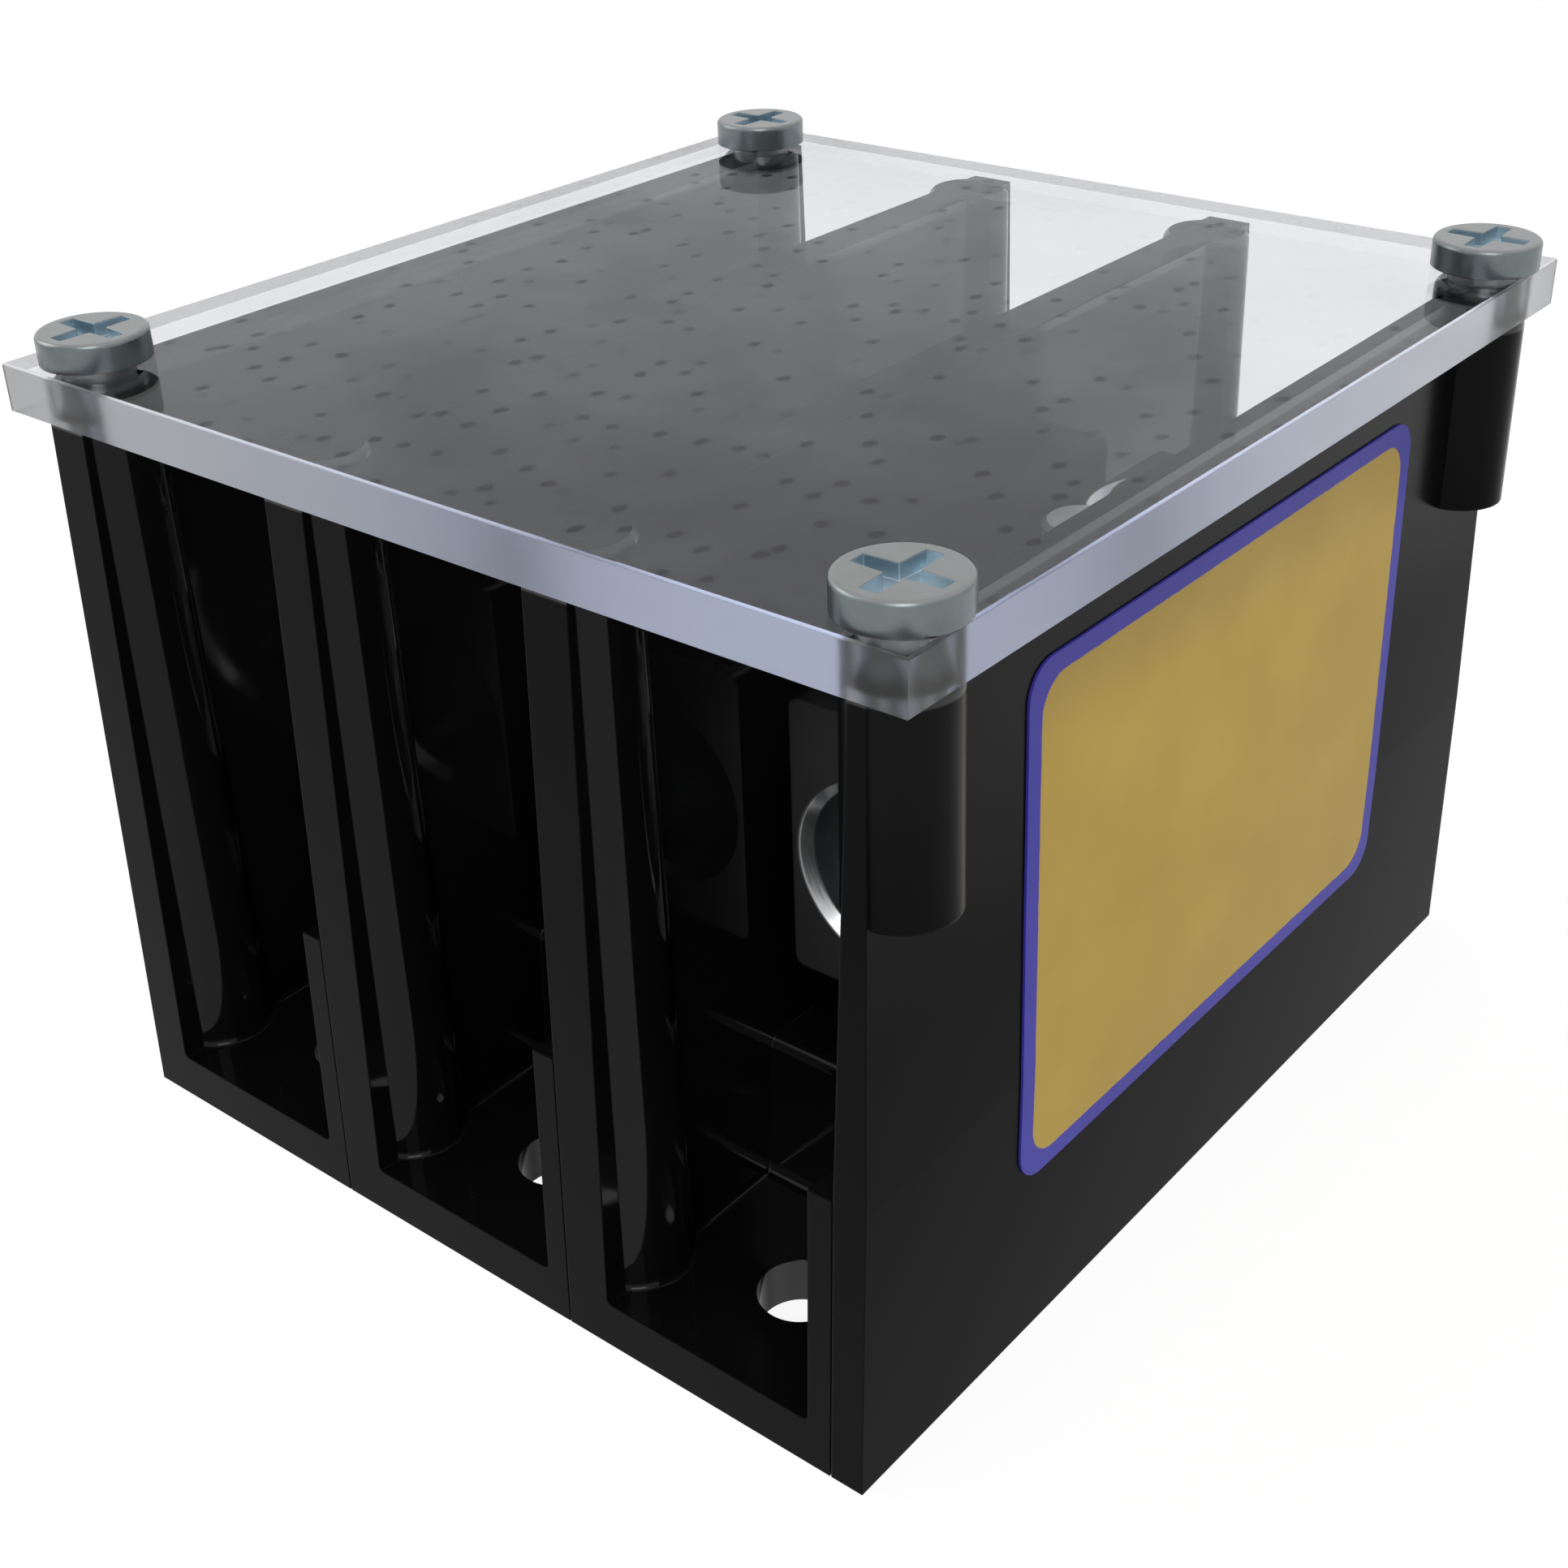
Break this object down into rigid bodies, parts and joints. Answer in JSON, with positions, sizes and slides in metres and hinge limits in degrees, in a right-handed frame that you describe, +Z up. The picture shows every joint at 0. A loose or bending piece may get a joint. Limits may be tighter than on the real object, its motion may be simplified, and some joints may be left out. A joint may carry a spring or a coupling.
{
  "type": "power distribution block",
  "caption": "Snap-together row of black moulded poles with aluminium conductor connectors, an end plate and a clear screwed-on cover.",
  "frame": {"origin": "middle of the underside, level with the surface that the block is screwed to", "axes": "+X along the row of poles towards the end plate, +Y along the conductors towards the rear, +Z up"},
  "size_m": [0.0684, 0.0732, 0.0545],
  "materials": {
    "housing": "moulded, satin",
    "connector": "extruded, dull",
    "set_screw": "turned",
    "screw": "zinc plated",
    "cover": "clear, polished",
    "label": "printed film"
  },
  "bodies": {
    "base": {"pole_1": "housing", "pole_2": "housing", "pole_3": "housing", "end_plate": "housing", "connector_1": "connector", "connector_2": "connector", "connector_3": "connector", "connector_bolt_1": "screw", "connector_bolt_2": "screw", "connector_bolt_3": "screw", "label": "label"},
    "cover": {"cover": "cover"},
    "cover_screw_front_left": {"cover_screw_front_left": "screw"},
    "cover_screw_front_right": {"cover_screw_front_right": "screw"},
    "cover_screw_rear_left": {"cover_screw_rear_left": "screw"},
    "cover_screw_rear_right": {"cover_screw_rear_right": "screw"},
    "set_screw_1_front": {"set_screw_1_front": "set_screw"},
    "set_screw_1_rear": {"set_screw_1_rear": "set_screw"},
    "set_screw_2_front": {"set_screw_2_front": "set_screw"},
    "set_screw_2_rear": {"set_screw_2_rear": "set_screw"},
    "set_screw_3_front": {"set_screw_3_front": "set_screw"},
    "set_screw_3_rear": {"set_screw_3_rear": "set_screw"}
  },
  "joints": [
    {"name": "cover_lift", "type": "slide", "parent": "base", "child": "cover", "axis": [0, 0, 1], "range_m": [0, 0.02]},
    {"name": "cover_screw_front_left_turn_out", "type": "slide", "parent": "cover", "child": "cover_screw_front_left", "axis": [0, 0, 1], "range_m": [0, 0.012]},
    {"name": "cover_screw_front_right_turn_out", "type": "slide", "parent": "cover", "child": "cover_screw_front_right", "axis": [0, 0, 1], "range_m": [0, 0.012]},
    {"name": "cover_screw_rear_left_turn_out", "type": "slide", "parent": "cover", "child": "cover_screw_rear_left", "axis": [0, 0, 1], "range_m": [0, 0.012]},
    {"name": "cover_screw_rear_right_turn_out", "type": "slide", "parent": "cover", "child": "cover_screw_rear_right", "axis": [0, 0, 1], "range_m": [0, 0.012]},
    {"name": "set_screw_1_front_travel", "type": "slide", "parent": "base", "child": "set_screw_1_front", "axis": [0, 0, 1], "range_m": [-0.008, 0.003]},
    {"name": "set_screw_1_rear_travel", "type": "slide", "parent": "base", "child": "set_screw_1_rear", "axis": [0, 0, 1], "range_m": [-0.008, 0.003]},
    {"name": "set_screw_2_front_travel", "type": "slide", "parent": "base", "child": "set_screw_2_front", "axis": [0, 0, 1], "range_m": [-0.008, 0.003]},
    {"name": "set_screw_2_rear_travel", "type": "slide", "parent": "base", "child": "set_screw_2_rear", "axis": [0, 0, 1], "range_m": [-0.008, 0.003]},
    {"name": "set_screw_3_front_travel", "type": "slide", "parent": "base", "child": "set_screw_3_front", "axis": [0, 0, 1], "range_m": [-0.008, 0.003]},
    {"name": "set_screw_3_rear_travel", "type": "slide", "parent": "base", "child": "set_screw_3_rear", "axis": [0, 0, 1], "range_m": [-0.008, 0.003]}
  ]
}
